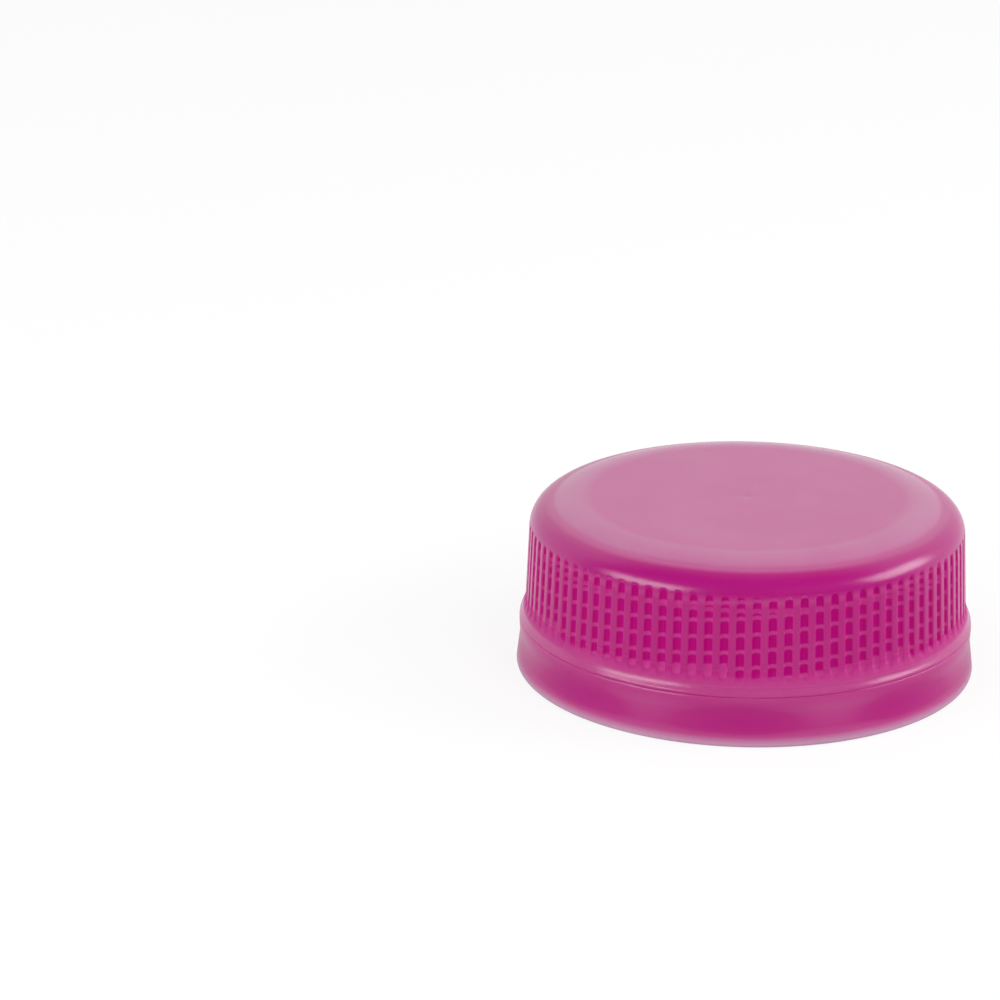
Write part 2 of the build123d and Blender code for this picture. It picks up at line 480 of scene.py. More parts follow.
@dataclass(frozen=True)
class Knurl:
    """Round-bottomed grooves up the skirt, run out at both ends, with soft-edged ribs between them."""

    form: CapForm
    count: int = 90
    start_angle: float = 1.15
    groove_radius: float = 0.38
    groove_depth: float = 0.34
    runout_radius: float = 0.62
    foot_clearance: float = 0.15
    top_clearance: float = 0.25
    fade: Place = (5.4, 6.5)
    tint: Place = (5.85, 6.3)
    satin_foot: Place = (5.2, 5.45)
    satin_top: Place = (6.9, 6.5)
    lip_steepness: float = 4.0
    rib_softness: float = 0.15
    columns: Shares = (0.0, 0.235, 0.4, 0.507, 0.585, 0.7, 1.0)

    def spread(self, angle: float) -> float:
        """An even column's angle, moved so that columns crowd at the lips of the grooves.

        Args:
            angle: The column's angle in degrees.

        Returns:
            Its new angle in degrees.
        """
        pitch = 360.0 / self.count
        turns, share = divmod((angle - self.start_angle) / pitch, 1.0)
        side = min(share, 1.0 - share) * 2.0 * (len(self.columns) - 1)
        index = min(int(side + 1e-6), len(self.columns) - 2)
        low, high = self.columns[index], self.columns[index + 1]
        half = (low + (high - low) * (side - index)) / 2.0
        return self.start_angle + (turns + (half if share <= 0.5 else 1.0 - half)) * pitch

    def carve(self, radius: float, height: float, angle: float) -> tuple[float, float, float]:
        """Where a point of the skirt goes when the groove beside it is cut.

        Args:
            radius: The point's radius.
            height: The point's height.
            angle: The point's angle in degrees.

        Returns:
            Its new radius and height, and how deep it now lies in a groove, from 0 to 1.
        """
        form = self.form
        pitch = 360.0 / self.count
        share = ((angle - self.start_angle) / pitch + 0.5) % 1.0 - 0.5
        offset = abs(math.radians(share * pitch)) * radius
        (foot_radius, foot_height), (top_radius, top_height) = form.skirt_foot, form.skirt_top
        slope = (top_radius - foot_radius) / (top_height - foot_height)
        lift = self.groove_radius - self.groove_depth
        foot = Vector((foot_radius + lift + slope * self.foot_clearance, foot_height + self.foot_clearance))
        top = Vector((top_radius + lift - slope * self.top_clearance, top_height - self.top_clearance))
        along = (top - foot).normalized()
        out = Vector((along.y, -along.x))
        place = Vector((radius, height)) - foot
        run, stand = place.dot(along), place.dot(out)
        floor = self.floor(offset, run, (top - foot).length)
        depth = stand - soft_min(stand, floor, self.rib_softness)
        moved = foot + along * run + out * (stand - depth * ease_between(height, *self.fade))
        return moved.x, moved.y, depth / self.groove_depth * ease_between(height, *self.tint)

    def satin(self, height: float) -> float:
        """How matt the skin is at a height, from 0 to 1, where the grooves run out at their feet."""
        return ease_between(height, *self.satin_foot) * ease_between(height, *self.satin_top)

    def floor(self, offset: float, run: float, length: float) -> float:
        """How far the groove's wall stands out from the rod line that cuts it.

        Args:
            offset: Distance from the groove's middle, along the skirt.
            run: Distance up the rod line from its lower end.
            length: The rod line's length.

        Returns:
            The stand-out in millimetres.
        """
        if offset >= self.groove_radius:
            return (offset - self.groove_radius) * self.lip_steepness
        half = math.sqrt(self.groove_radius**2 - offset**2)
        past = max(-run, run - length, 0.0)
        reach = self.runout_radius + half
        if past >= reach:
            return self.runout_radius
        return self.runout_radius - math.sqrt(reach**2 - past**2)


@dataclass(frozen=True)
class FlapFolds:
    """Wedge pleats across the folded flap, two of them open, and a shallow pocket between each pair."""

    form: CapForm
    count: int = 8
    first_angle: float = 22.5
    pleat_depth: float = 0.3
    pleat_width: float = 0.75
    fold_distance: float = 0.7
    open_pleats: tuple[int, ...] = (0, 4)
    open_width: float = 1.3
    pocket_length: float = 1.0
    pocket_width: float = 1.5
    pocket_depth: float = 0.25
    pocket_distance: float = 0.55
    crowding: float = 0.72
    root_length: float = 0.3
    pleat_edge: float = 0.12
    pocket_edge: float = 0.16

    def spread(self, angle: float) -> float:
        """Moves an even column towards the nearest pleat or pocket.

        Args:
            angle: The column's angle in degrees.

        Returns:
            Its new angle in degrees.
        """
        waves = 2.0 * self.count
        swing = math.sin(math.radians(waves * (angle - self.first_angle)))
        return angle - math.degrees(self.crowding / waves * swing)

    def shape(self, radius: float, height: float, angle: float) -> Place:
        """Where a point of the flap goes when the pleats and pockets are pressed.

        Args:
            radius: The point's radius.
            height: The point's height.
            angle: The point's angle in degrees.

        Returns:
            Its new radius and height.
        """
        form = self.form
        place = Vector((radius, height)) - form.flap_fold
        along, across = place.dot(form.flap_along), place.dot(form.flap_across)
        if along < self.root_length:
            return radius, height
        pitch = 360.0 / self.count
        turns = (angle - self.first_angle) / pitch
        pleat = round(turns)
        offset = abs(math.radians((turns - pleat) * pitch)) * radius
        reach = form.flap_length + form.flap_thickness
        if pleat % self.count in self.open_pleats:
            slope = (reach - self.fold_distance) / (self.open_width / 2.0)
            along = min(along, self.fold_distance + offset * slope)
        elif across < form.flap_thickness / 2.0 and along > self.fold_distance:
            wedge = (along - self.fold_distance) / (reach - self.fold_distance) * self.pleat_width / 2.0
            across += self.pleat_depth * ease((wedge - offset) / self.pleat_edge + 0.5)
        middle = math.floor(turns) + 0.5
        aside = abs(math.radians((turns - middle) * pitch)) * radius
        beyond = abs(along - self.pocket_distance - self.pocket_length / 2.0) - self.pocket_length / 2.0
        if across < form.flap_thickness / 2.0:
            wide = ease(0.5 + (self.pocket_width / 2.0 - aside) / self.pocket_edge)
            across += self.pocket_depth * ease(0.5 - beyond / self.pocket_edge) * wide
        moved = form.flap_fold + form.flap_along * along + form.flap_across * across
        return moved.x, moved.y


@dataclass(frozen=True)
class WallShareAndPaintedLight:
    """How pale the skin is drawn, from 0, deep, to 1 at the solid rim.

    Partly it follows how thick and backed the wall is: the dyed plastic lets light through, so that a thin
    wall looks deep and a thick one pale. Partly it is painted light: a painted reflection on the crown, a
    painted highlight where the rib tops meet the shoulder, painted shade on the band, a painted glow at the
    rim and painted lamp light on the band at the flap's pleats.
    """

    inside: tuple[tuple[Zone, float], ...] = (
        (Zone.FLAP, 0.62), (Zone.WALL, 0.16), (Zone.PLUG, 0.1), (Zone.CEILING, 0.5),
    )
    # From 14.7 to 17.0 the crown is drawn paler than the flat panel: a painted reflection, in place of the
    # sheen that its slope takes away. Past the crease the colour turns deep over the shoulder.
    top: tuple[Place, ...] = (
        (0.0, 0.56), (13.9, 0.56), (14.7, 0.66), (15.6, 0.69), (16.7, 0.69), (17.0, 0.66), (17.2, 0.58),
        (17.35, 0.48), (17.75, 0.43), (18.0, 0.37), (18.3, 0.22), (18.6, 0.04), (18.8, 0.0),
    )
    side: tuple[Place, ...] = (
        # The rim is drawn pale: partly its solid plastic, partly a painted glow of light from the floor
        # coming in at the rim. From 1 to 3.3 the band is drawn deep: painted shade, where the folded flap
        # stands behind it.
        (0.0, 1.0), (0.4, 0.98), (0.75, 0.8), (1.0, 0.48), (1.4, 0.22), (2.2, 0.12), (2.8, 0.15),
        (3.3, 0.27), (3.9, 0.36), (4.5, 0.42), (4.7, 0.45), (5.4, 0.45), (5.9, 0.4), (6.6, 0.33),
        # The rise at 12.8, where the rib tops meet the shoulder, is a painted highlight.
        (12.3, 0.33), (12.8, 0.42), (13.1, 0.34), (13.4, 0.0),
    )
    # The painted lamp light on the band: how many pale stripes, how much paler, where a deep stretch stands
    # and between which heights.
    pleat_light_count: int = 8
    pleat_light_share: float = 0.3
    pleat_light_from: float = -90.0
    pleat_light_heights: Place = (0.9, 4.3)

    def at(self, zone: Zone, radius: float, height: float, angle: float) -> float:
        """The share at a place on the surface.

        Args:
            zone: The stretch of the section.
            radius: The place's radius.
            height: The place's height.
            angle: The place's angle in degrees.

        Returns:
            The share, from 0 to 1.
        """
        for name, share in self.inside:
            if zone == name:
                return share
        if zone in (Zone.PANEL, Zone.SHOULDER):
            return self.along(self.top, radius)
        return self.along(self.side, height) + self.pleat_light(zone, height, angle)

    def pleat_light(self, zone: Zone, height: float, angle: float) -> float:
        """Painted lamp light coming through the band's wall: paler where the flap's pleats stand behind it,
        deep in turn where its flat stretches do, one of them at the front.

        Args:
            zone: The stretch of the section.
            height: The place's height.
            angle: The place's angle in degrees.

        Returns:
            What the painted light adds to the share.
        """
        low, high = self.pleat_light_heights
        if zone != Zone.BAND or not low < height < high:
            return 0.0
        wave = 0.5 - 0.5 * math.cos(math.radians(self.pleat_light_count * (angle - self.pleat_light_from)))
        return self.pleat_light_share * wave * math.sin(math.pi * (height - low) / (high - low))

    @staticmethod
    def along(stops: tuple[Place, ...], where: float) -> float:
        """The value at a position between stops.

        Args:
            stops: Positions and values, in order.
            where: The position.

        Returns:
            The value.
        """
        if where <= stops[0][0]:
            return stops[0][1]
        for (low, first), (high, last) in zip(stops, stops[1:]):
            if where <= high:
                return first + (last - first) * (where - low) / (high - low)
        return stops[-1][1]


@dataclass(frozen=True)
class Thread:
    """Thin right-hand ridges inside the skirt, many starts, each run out at both ends."""

    form: CapForm
    starts: int = 7
    lead: float = 10.34
    height: float = 0.4
    base_width: float = 0.62
    crest_width: float = 0.22
    sink: float = 0.2
    round_from: float = 0.85
    crest_flat: float = 0.6
    turn: float = 200.0
    start_angle: float = 32.73
    foot_clearance: float = 0.165
    runout_angle: float = 8.0
    runout_sink: float = 0.06
    steps: int = 90

    @property
    def foot_height(self) -> float:
        """The height at which each ridge starts."""
        return self.form.thread_zone_height + self.foot_clearance

    def build(self, shell: BMesh) -> None:
        """Adds the ridges to the moulding.

        Args:
            shell: The moulding's mesh, in millimetres.
        """
        ridge = bmesh.new()
        root = self.form.thread_root_radius
        half = self.base_width / 2.0
        crest = self.crest_width / 2.0
        slope = (half - crest) / self.height
        flank = [
            (root + self.sink, half + slope * self.sink),
            (root - self.height * self.round_from, crest + slope * self.height * (1.0 - self.round_from)),
            (root - self.height, crest * self.crest_flat),
        ]
        outline = flank + [(radius, -rise) for radius, rise in reversed(flank)]
        corners = [ridge.verts.new((radius, 0.0, rise)) for radius, rise in outline]
        rings = [ridge.edges.new((corners[index - 1], corners[index])) for index in range(len(corners))]
        rise = self.lead * self.turn / 360.0
        bmesh.ops.spin(
            ridge, geom=corners + rings, cent=(0, 0, 0), axis=(0, 0, 1), dvec=(0, 0, rise / self.steps),
            angle=math.radians(self.turn), steps=self.steps, use_merge=False,
        )
        ends = [edge for edge in ridge.edges if edge.is_boundary]
        bmesh.ops.holes_fill(ridge, edges=ends, sides=len(outline))
        for vertex in ridge.verts:
            angle = math.degrees(math.atan2(vertex.co.y, vertex.co.x)) % 360.0
            left = min(angle, self.turn - angle) if angle < self.turn + 1.0 else 0.0
            sunk = (self.height + self.runout_sink) * (1.0 - ease(left / self.runout_angle))
            radius = math.hypot(vertex.co.x, vertex.co.y)
            vertex.co.xy *= (radius + sunk * (1.0 if radius < root else 0.0)) / radius
        turned = Matrix.Rotation(math.radians(self.start_angle), 3, "Z")
        bmesh.ops.rotate(ridge, verts=ridge.verts, cent=(0, 0, 0), matrix=turned)
        bmesh.ops.translate(ridge, verts=ridge.verts, vec=(0, 0, self.foot_height))
        bmesh.ops.recalc_face_normals(ridge, faces=ridge.faces)
        bmesh.ops.spin(
            ridge, geom=ridge.verts[:] + ridge.edges[:] + ridge.faces[:], cent=(0, 0, 0), axis=(0, 0, 1),
            angle=math.tau * (self.starts - 1) / self.starts, steps=self.starts - 1, use_duplicate=True,
        )
        kept = to_mesh(ridge, "thread_ridges")
        shell.from_mesh(kept)
        bpy.data.meshes.remove(kept)


def linear(code: str) -> tuple[float, float, float, float]:
    """An sRGB hex colour as linear red, green, blue and full alpha."""
    parts = [int(code.lstrip("#")[index : index + 2], 16) / 255.0 for index in (0, 2, 4)]
    return *(part / 12.92 if part <= 0.04045 else ((part + 0.055) / 1.055) ** 2.4 for part in parts), 1.0


def to_mesh(shape: BMesh, name: str) -> bpy.types.Mesh:
    """Makes a mesh from a shape and frees the shape.

    Args:
        shape: The shape.
        name: The mesh's name.

    Returns:
        The mesh.
    """
    mesh = bpy.data.meshes.new(name)
    shape.to_mesh(mesh)
    shape.free()
    return mesh


def add_object(name: str, data: bpy.types.ID) -> bpy.types.Object:
    """Puts data into the scene as a new object at the origin.

    Args:
        name: The object's name.
        data: A mesh, lamp or camera.

    Returns:
        The object.
    """
    item = bpy.data.objects.new(name, data)
    bpy.context.scene.collection.objects.link(item)
    return item


def add_node(tree: NodeTree, kind: str, values: dict | None = None, links: dict | None = None) -> Node:
    """Adds a shader node with its settings and links.

    Args:
        tree: The tree that the node goes into.
        kind: The node's type, without the prefix that all of them share.
        values: Settings by attribute name, or socket values by socket name or index.
        links: Sources by socket name or index: a node, whose first output is taken, or a socket.

    Returns:
        The node.
    """
    node = tree.nodes.new(f"ShaderNode{kind}")
    for key, value in (values or {}).items():
        if isinstance(key, str) and hasattr(node, key):
            setattr(node, key, value)
        else:
            node.inputs[key].default_value = value
    for key, source in (links or {}).items():
        tree.links.new(source.outputs[0] if isinstance(source, Node) else source, node.inputs[key])
    return node


def empty_tree(owner: bpy.types.Material | bpy.types.World) -> Callable[..., Node]:
    """Clears a node tree.

    Args:
        owner: The material or world that has the tree.

    Returns:
        The function that adds a node to it.
    """
    owner.use_nodes = True
    owner.node_tree.nodes.clear()
    return partial(add_node, owner.node_tree)


SOFT = {"interpolation_type": "SMOOTHSTEP"}


@dataclass(frozen=True)
class MouldedPolyethylene:
    """Dyed high-density polyethylene, injection moulded.

    It is waxy and lets some light in, so the eye sees a deep colour where the wall is thin and a milky one
    where it is thick; some of that tone is painted reflection, highlight, shade and glow. The mould leaves an
    even satin skin, smoother on the ribs than in the grooves. The wall's thickness drifts over about 8 mm.
    The skin's grain is drawn at 0.6 mm, coarser than the real one, to show.
    """

    thread: Thread
    name: str = "moulded_polyethylene"
    thin: str = "#A00470"
    ribbed: str = "#A42071"
    thick: str = "#AE4782"
    solid: str = "#B188A2"
    grooved: str = "#B00274"
    backed: str = "#BC3A88"
    ribbed_share: float = 0.33
    thick_share: float = 0.56
    roughness: float = 0.24
    groove_roughness: float = 0.4
    specular: float = 0.5
    groove_specular: float = 0.06
    groove_edge: Place = (0.04, 0.42)
    ior: float = 1.54
    light_inside: float = 0.45
    light_radius: tuple[float, float, float] = (1.0, 0.25, 0.6)
    light_reach: float = 0.8
    drift_size: float = 8.3333
    drift: float = 0.03
    drift_range: Place = (0.3, 0.7)
    grain_size: float = 0.625
    grain_depth: float = 0.1
    grain_strength: float = 0.06
    ridge_edge: Place = (0.06, 0.17)
    top_bar_height: float = 11.97
    top_bar_edge: Place = (0.12, 0.26)
    top_bar_strength: float = 0.8
    lead_in_angle: float = 266.0
    lead_in_height: float = 5.77
    lead_in_edge: float = 0.12

    def build(self) -> bpy.types.Material:
        """The finish as a material, on Object coordinates in metres.

        Returns:
            The material.
        """
        material = bpy.data.materials.new(self.name)
        add = empty_tree(material)
        place = add("TexCoord").outputs["Object"]
        parts = add("SeparateXYZ", {}, {0: place})
        names = ("groove", "wall", "satin")
        groove, wall, satin = (add("Attribute", {"attribute_name": name}).outputs["Fac"] for name in names)
        lip, bed = self.groove_edge
        floor = add("MapRange", {**SOFT, 1: lip, 2: bed}, {0: groove})
        size = self.drift_size * MILLIMETRE
        cloud = add("TexNoise", {"Scale": 1.0 / size, "Detail": 2.0, "Roughness": 0.5}, {0: place})
        least, most = self.drift_range
        wander = add("MapRange", {1: least, 2: most, 3: -self.drift, 4: self.drift}, {0: cloud})
        # The wall share brings painted light with it: the crown's painted reflection, the rib tops' painted
        # highlight, the band's painted shade and pleat light, and the rim's painted glow.
        depth = add("Math", {"operation": "ADD", "use_clamp": True}, {0: wall, 1: wander})
        walls = add("ValToRGB", {}, {0: depth})
        stops = walls.color_ramp.elements
        stops[0].position, stops[0].color = 0.0, linear(self.thin)
        stops[1].position, stops[1].color = 1.0, linear(self.solid)
        stops.new(self.ribbed_share).color = linear(self.ribbed)
        stops.new(self.thick_share).color = linear(self.thick)
        colours = {"data_type": "RGBA", 6: linear(self.grooved), 7: linear(self.backed)}
        grooves = add("Mix", colours, {0: self.thread_bars(add, parts)})
        colour = add("Mix", {"data_type": "RGBA"}, {0: floor, 6: walls, 7: grooves.outputs[2]})
        size = self.grain_size * MILLIMETRE
        grain = add("TexNoise", {"Scale": 1.0 / size, "Detail": 3.0, "Roughness": 0.6}, {0: place})
        pressed = {"Strength": self.grain_strength, "Distance": self.grain_depth * MILLIMETRE}
        skin = add("Bump", pressed, {"Height": grain})
        matt = add("Math", {"operation": "MAXIMUM"}, {0: floor, 1: satin})
        rough = add("MapRange", {3: self.roughness, 4: self.groove_roughness}, {0: matt})
        gloss = add("MapRange", {3: self.specular, 4: self.groove_specular}, {0: matt})
        body = {
            "IOR": self.ior, "Subsurface Weight": self.light_inside, "Subsurface Radius": self.light_radius,
            "Subsurface Scale": self.light_reach * MILLIMETRE,
        }
        skin_links = {"Normal": skin, "Roughness": rough, "Specular IOR Level": gloss}
        shader = add("BsdfPrincipled", body, {"Base Color": colour.outputs[2], **skin_links})
        add("OutputMaterial", {}, {"Surface": shader})
        return material

    def thread_bars(self, add: Callable[..., Node], parts: Node) -> NodeSocket:
        """A mask of where thread ridges, the wall over them and their lead-in back the skirt's wall.

        Args:
            add: Adds a node to the material's tree.
            parts: The node that gives x, y and z apart.

        Returns:
            The mask's socket, 1 where the wall is backed.
        """
        height = parts.outputs[2]
        turn = add("Math", {"operation": "ARCTAN2"}, {0: parts.outputs[1], 1: parts.outputs[0]})
        starts = self.thread.starts
        lead = self.thread.lead * MILLIMETRE
        offset = self.thread.start_angle / 360.0 - self.thread.foot_height * MILLIMETRE / lead
        scaled = {"operation": "MULTIPLY_ADD"}
        climb = add("Math", {**scaled, 1: 1.0 / lead, 2: offset}, {0: height})
        wound = add("Math", {**scaled, 1: -1.0 / math.tau}, {0: turn, 2: climb})
        phase = add("Math", {"operation": "MULTIPLY", 1: float(starts)}, {0: wound})
        wave = add("Math", {"operation": "PINGPONG", 1: 0.5}, {0: phase})
        inner, outer = self.ridge_edge
        ridge = add("MapRange", {**SOFT, 1: inner, 2: outer, 3: 1.0, 4: 0.0}, {0: wave})
        top = self.top_bar_height * MILLIMETRE
        above = add("Math", {"operation": "SUBTRACT", 1: top}, {0: height})
        apart = add("Math", {"operation": "ABSOLUTE"}, {0: above})
        inner, outer = (edge * MILLIMETRE for edge in self.top_bar_edge)
        last = add("MapRange", {**SOFT, 1: inner, 2: outer, 3: self.top_bar_strength, 4: 0.0}, {0: apart})
        turned = -starts * self.lead_in_angle / 360.0
        steps = add("Math", {**scaled, 1: starts / math.tau, 2: turned}, {0: turn})
        share = add("Math", {"operation": "FRACT"}, {0: steps})
        rise = {**scaled, 1: lead / starts, 2: self.lead_in_height * MILLIMETRE}
        foot = add("Math", rise, {0: share})
        under = add("Math", {"operation": "SUBTRACT"}, {0: foot, 1: height})
        edge = self.lead_in_edge * MILLIMETRE
        filled = add("MapRange", {**SOFT, 1: -edge, 2: edge}, {0: under})
        ends = add("Math", {"operation": "MAXIMUM"}, {0: last, 1: filled})
        return add("Math", {"operation": "MAXIMUM"}, {0: ridge, 1: ends}).outputs[0]


@dataclass
class CapMoulding:
    """The whole cap as one closed mesh: shell, knurl, slit band, flap, plug seal and thread."""

    form: CapForm
    bridge_count: int = 12
    bridge_width: float = 1.1
    bridge_reach: float = 2.0
    bridge_pull: float = 6.0
    around: int = 360
    skirt_cuts: int = 2
    crisp_angle: float = 50.0
    smallest_edge: float = 0.0005

    def build(self) -> bpy.types.Object:
        """Builds and dresses the moulding.

        Returns:
            The finished object.
        """
        knurl = Knurl(self.form)
        shell = bmesh.new()
        self.spin_section(shell, knurl)
        self.press_details(shell, knurl, FlapFolds(self.form))
        self.cut_slit(shell, knurl.start_angle)
        bmesh.ops.dissolve_degenerate(shell, dist=self.smallest_edge, edges=shell.edges)
        bmesh.ops.recalc_face_normals(shell, faces=shell.faces)
        thread = Thread(self.form)
        thread.build(shell)
        for face in shell.faces:
            face.smooth = True
        self.sharpen(shell)
        bmesh.ops.scale(shell, vec=(MILLIMETRE,) * 3, verts=shell.verts)
        cap = add_object("cap_moulding", to_mesh(shell, "cap_moulding"))
        cap.data.materials.append(MouldedPolyethylene(thread).build())
        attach(cap, "root")
        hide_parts("screw_cap")
        return cap

    def spin_section(self, shell: BMesh, knurl: Knurl) -> None:
        """Spins the half section about the axis and adds columns where the knurl needs them.

        Args:
            shell: The mesh to fill.
            knurl: The knurl, whose first groove the columns start at.
        """
        places = HalfSection(self.form).draw()
        radius_of = shell.verts.layers.float.new("row_radius")
        height_of = shell.verts.layers.float.new("row_height")
        zone_of = shell.verts.layers.int.new("zone")
        row_of = shell.verts.layers.int.new("row")
        for name in ("groove", "wall", "satin"):
            shell.verts.layers.float.new(name)
        corners = []
        for index, (radius, height, zone) in enumerate(places):
            vertex = shell.verts.new((radius, 0.0, height))
            vertex[radius_of], vertex[height_of] = radius, height
            vertex[zone_of], vertex[row_of] = int(zone), index
            corners.append(vertex)
        runs = [shell.edges.new(pair) for pair in zip(corners, corners[1:])]
        bmesh.ops.spin(
            shell, geom=corners + runs, cent=(0, 0, 0), axis=(0, 0, 1),
            angle=math.tau, steps=self.around, use_merge=True,
        )
        poles = [vertex for vertex in shell.verts if vertex[radius_of] < SAME]
        bmesh.ops.remove_doubles(shell, verts=poles, dist=SAME)
        turned = Matrix.Rotation(math.radians(knurl.start_angle), 3, "Z")
        bmesh.ops.rotate(shell, verts=shell.verts, cent=(0, 0, 0), matrix=turned)
        hoops = [
            edge for edge in shell.edges
            if edge.verts[0][row_of] == edge.verts[1][row_of] and edge.verts[0][zone_of] == Zone.SKIRT
        ]
        bmesh.ops.subdivide_edges(shell, edges=hoops, cuts=self.skirt_cuts, use_grid_fill=True)

    def press_details(self, shell: BMesh, knurl: Knurl, folds: FlapFolds) -> None:
        """Moves the rows' points to form the knurl's grooves, the bridges' edges and the flap's folds.

        Args:
            shell: The spun mesh.
            knurl: The knurl to carve.
            folds: The pleats and pockets to press.
        """
        floats = shell.verts.layers.float
        names = ("row_radius", "row_height", "groove", "wall", "satin")
        radius_of, height_of, groove_of, wall_of, satin_of = (floats[name] for name in names)
        zone_of = shell.verts.layers.int["zone"]
        walls = WallShareAndPaintedLight()
        for vertex in shell.verts:
            radius, height, zone = vertex[radius_of], vertex[height_of], vertex[zone_of]
            angle = math.degrees(math.atan2(vertex.co.y, vertex.co.x))
            # The wall share holds painted reflection, highlight, shade and glow as well as the wall's
            # thickness.
            vertex[wall_of] = walls.at(Zone(zone), radius, height, angle)
            if zone == Zone.SKIRT:
                angle = knurl.spread(angle)
                radius, height, depth = knurl.carve(radius, height, angle)
                vertex[groove_of], vertex[satin_of] = depth, knurl.satin(vertex[height_of])
            elif zone == Zone.FLAP:
                angle = folds.spread(angle)
                radius, height = folds.shape(radius, height, angle)
            elif self.in_slit(height):
                angle = self.to_bridge(angle, knurl.start_angle)
            turn = math.radians(angle)
            vertex.co = (radius * math.cos(turn), radius * math.sin(turn), height)

    def in_slit(self, height: float) -> bool:
        """Whether a row's height is the upper or lower edge of the slit."""
        return abs(abs(height - self.form.slit_height) - self.form.slit_width / 2.0) < SAME

    def to_bridge(self, angle: float, first: float) -> float:
        """Draws a column in, so that the columns beside a bridge stand at its edges.

        Args:
            angle: The column's angle in degrees.
            first: The angle of a bridge, in degrees.

        Returns:
            The column's new angle in degrees.
        """
        pitch = 360.0 / self.bridge_count
        offset = (angle - first + pitch / 2.0) % pitch - pitch / 2.0
        half = math.degrees(self.bridge_width / 2.0 / self.form.bead[0])
        away = max(0.0, (self.bridge_pull - abs(offset)) / (self.bridge_pull - self.bridge_reach))
        pull = (self.bridge_reach - half) * min(abs(offset) / self.bridge_reach, away, 1.0)
        return angle - math.copysign(pull, offset)

    def cut_slit(self, shell: BMesh, first: float) -> None:
        """Opens the slit between the bridges and walls each opening in.

        Args:
            shell: The shaped mesh.
            first: The angle of a bridge, in degrees.
        """
        pitch = 360.0 / self.bridge_count
        opened: dict[int, list[bmesh.types.BMFace]] = {}
        for face in shell.faces:
            heights = [vertex.co.z for vertex in face.verts]
            if not all(self.in_slit(height) for height in heights) or max(heights) - min(heights) < SAME:
                continue
            middle = face.calc_center_median()
            turns = (math.degrees(math.atan2(middle.y, middle.x)) - first) / pitch
            if abs(turns - round(turns)) * pitch > self.bridge_reach:
                opened.setdefault(math.floor(turns) % self.bridge_count, []).append(face)
        for faces in opened.values():
            counts: dict[bmesh.types.BMEdge, int] = {}
            for face in faces:
                for edge in face.edges:
                    counts[edge] = counts.get(edge, 0) + 1
            border = [edge for edge, count in counts.items() if count == 1]
            bmesh.ops.delete(shell, geom=faces, context="FACES")
            bmesh.ops.bridge_loops(shell, edges=[edge for edge in border if edge.is_valid])
        LOG.info("slit: cut at %.2f mm in %d stretches", self.form.slit_height, len(opened))

    def sharpen(self, shell: BMesh) -> None:
        """Keeps the slit's and the flap's crisp edges crisp.

        Args:
            shell: The finished shell, all of its faces smooth.
        """
        zone_of = shell.verts.layers.int["zone"]
        for edge in shell.edges:
            zones = {vertex[zone_of] for vertex in edge.verts}
            if zones <= {Zone.BEAD, Zone.BAND, Zone.FLAP, Zone.WALL} and edge.is_manifold:
                edge.smooth = edge.calc_face_angle() < math.radians(self.crisp_angle)


@dataclass(frozen=True)
class Softbox:
    """A soft lamp that faces the cap: degrees round from the front and up, metres and watts."""

    name: str
    bearing: float
    lift: float
    wide: float
    tall: float
    power: float
    shines: bool = True
    distance: float = 0.45

    def build(self) -> None:
        """Stands the lamp in its place. One that doesn't shine makes no highlight."""
        data = bpy.data.lights.new(self.name, "AREA")
        data.shape = "RECTANGLE"
        data.size, data.size_y = self.wide, self.tall
        data.energy = self.power
        lamp = add_object(self.name, data)
        lamp.visible_glossy = self.shines
        turn, lift = math.radians(self.bearing), math.radians(self.lift)
        place = Vector((math.sin(turn) * math.cos(lift), -math.cos(turn) * math.cos(lift), math.sin(lift)))
        lamp.location = place * self.distance
        lamp.rotation_mode = "QUATERNION"
        lamp.rotation_quaternion = (-place).to_track_quat("-Z", "Y")


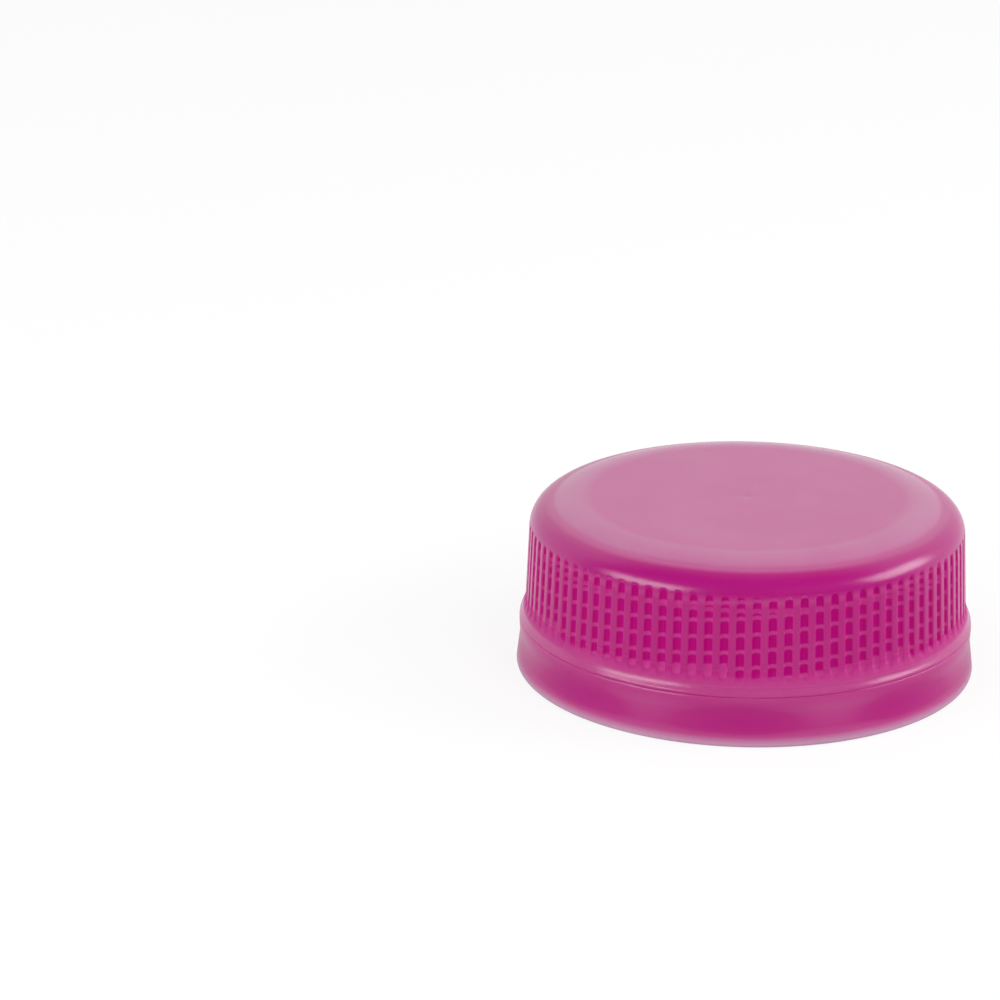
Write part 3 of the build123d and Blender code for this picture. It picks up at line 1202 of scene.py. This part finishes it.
@dataclass(frozen=True)
class Studio:
    """Plain pale floor, soft white surroundings and lamps, and the camera."""

    distance: float = 0.320
    elevation: float = 21.62
    focal: float = 3526.0
    roll: float = 0.0258
    foot: Place = (743.3, 659.5)
    side: float = 1000.0
    film: float = 36.0
    near_and_far: Place = (0.01, 10.0)
    floor_half: float = 1.5
    floor_drop: float = 0.00002
    floor_colour: str = "#F2F2F2"
    floor_white: float = 0.8
    floor_glow: float = 0.9
    # Seen in reflections, the floor is dark in front of the cap and white behind it: painted shade in front.
    floor_sheen: Place = (0.12, 1.0)
    sheen_depths: Place = (-0.022, 0.02)
    horizon_light: float = 0.75
    zenith_light: float = 0.85
    horizon_mirror: float = 0.92
    mirror_dark: float = 0.03
    mirror_heights: Place = (0.72, 0.92)
    mirror_depths: Place = (-0.1, 0.25)
    lamps: tuple[Softbox, ...] = (
        Softbox("left_box", -52.0, 18.0, 0.34, 0.15, 0.88),
        Softbox("right_box", 90.0, 27.0, 0.3, 0.16, 0.85),
        Softbox("fill", 38.0, 30.0, 0.3, 0.2, 0.55, shines=False),
    )

    def build(self) -> None:
        """Builds the whole studio."""
        bpy.context.scene.view_settings.view_transform = "Standard"
        self.build_camera()
        self.build_floor()
        self.build_world()
        for lamp in self.lamps:
            lamp.build()

    def build_camera(self) -> None:
        """Stands the camera where the cap's base comes to its place in the frame."""
        elevation = math.radians(self.elevation)
        stand = Vector((0.0, -math.cos(elevation), math.sin(elevation))) * self.distance
        ahead = -stand.normalized()
        right = ahead.cross(Vector((0.0, 0.0, 1.0))).normalized()
        down = ahead.cross(right)
        half = self.side / 2.0
        across, below = ((place - half) / self.focal for place in self.foot)
        aim = Vector((across, below, 1.0)).normalized()
        towards = Vector((0.0, 0.0, 1.0)).rotation_difference(aim).to_matrix()
        turned = Matrix.Rotation(self.roll, 3, aim) @ towards @ Matrix((right, down, ahead))
        data = bpy.data.cameras.new("camera")
        data.sensor_width = self.film
        data.lens = self.focal / self.side * data.sensor_width
        data.clip_start, data.clip_end = self.near_and_far
        camera = add_object("camera", data)
        axes = Matrix((turned[0], -turned[1], -turned[2])).transposed()
        camera.matrix_world = Matrix.Translation(stand) @ axes.to_4x4()
        bpy.context.scene.camera = camera

    def build_floor(self) -> None:
        """Lays the floor, pale from above and clear from below."""
        plane = bmesh.new()
        bmesh.ops.create_grid(plane, x_segments=1, y_segments=1, size=self.floor_half)
        bmesh.ops.translate(plane, verts=plane.verts, vec=(0.0, 0.0, -self.floor_drop))
        floor = add_object("floor", to_mesh(plane, "floor"))
        material = bpy.data.materials.new("pale_floor")
        add = empty_tree(material)
        bright = {"Color": linear("#FFFFFF")}
        facing = add("NewGeometry")
        matt = add("BsdfDiffuse", {"Color": linear(self.floor_colour)})
        glow = add("Emission", {**bright, "Strength": self.floor_glow})
        white = add("Emission", {**bright, "Strength": 1.0})
        rays = add("LightPath")
        place = add("TexCoord").outputs["Object"]
        parts = add("SeparateXYZ", {}, {0: place})
        # Painted shade: in reflections the floor is dark in front of the cap, white behind it.
        ends = dict(enumerate((*self.sheen_depths, *self.floor_sheen), start=1))
        away = add("MapRange", ends, {0: parts.outputs[1]})
        sheen = add("Emission", bright, {"Strength": away})
        lit = add("MixShader", {}, {0: rays.outputs["Is Glossy Ray"], 1: glow, 2: sheen})
        eye = add("MixShader", {0: self.floor_white}, {1: matt, 2: white})
        pale = add("MixShader", {}, {0: rays.outputs["Is Camera Ray"], 1: lit, 2: eye})
        clear = add("BsdfTransparent")
        shown = add("MixShader", {}, {0: facing.outputs["Backfacing"], 1: pale, 2: clear})
        add("OutputMaterial", {}, {0: shown})
        floor.data.materials.append(material)

    def build_world(self) -> None:
        """Makes the surroundings: white to the eye and in reflections near the horizon, darker overhead."""
        world = bpy.data.worlds.new("studio")
        bpy.context.scene.world = world
        add = empty_tree(world)
        rays = add("LightPath")
        place = add("TexCoord").outputs["Generated"]
        parts = add("SeparateXYZ", {}, {0: place})
        fall = dict(enumerate((*self.mirror_heights, self.horizon_mirror, self.mirror_dark), start=1))
        high = add("MapRange", {**SOFT, **fall}, {0: parts.outputs[2]})
        front = dict(enumerate((*self.mirror_depths, self.mirror_dark, 1.0), start=1))
        behind = add("MapRange", {**SOFT, **front}, {0: parts.outputs[1]})
        mirror = add("Math", {"operation": "MULTIPLY"}, {0: high, 1: behind})
        sky = {3: self.horizon_light, 4: self.zenith_light}
        around = add("MapRange", sky, {0: parts.outputs[2]})
        level = add("Mix", {}, {0: rays.outputs["Is Glossy Ray"], 2: around, 3: mirror})
        shown = add("Mix", {3: 1.0}, {0: rays.outputs["Is Camera Ray"], 2: level.outputs[0]})
        light = add("Background", {"Color": linear("#FFFFFF")}, {"Strength": shown.outputs[0]})
        add("OutputWorld", {}, {0: light})


def main() -> None:
    """Builds the cap and its studio."""
    logging.basicConfig(level=logging.INFO, format="%(name)s: %(message)s")
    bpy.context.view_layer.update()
    _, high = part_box("screw_cap")
    form = CapForm(band_foot_radius=BAND_FOOT_RADIUS, cap_height=round(high[2] / MILLIMETRE, 3))
    cap = CapMoulding(form).build()
    LOG.info("%s: built with %d vertices", cap.name, len(cap.data.vertices))
    Studio().build()
    bpy.context.view_layer.update()


if __name__ == "__main__":
    main()
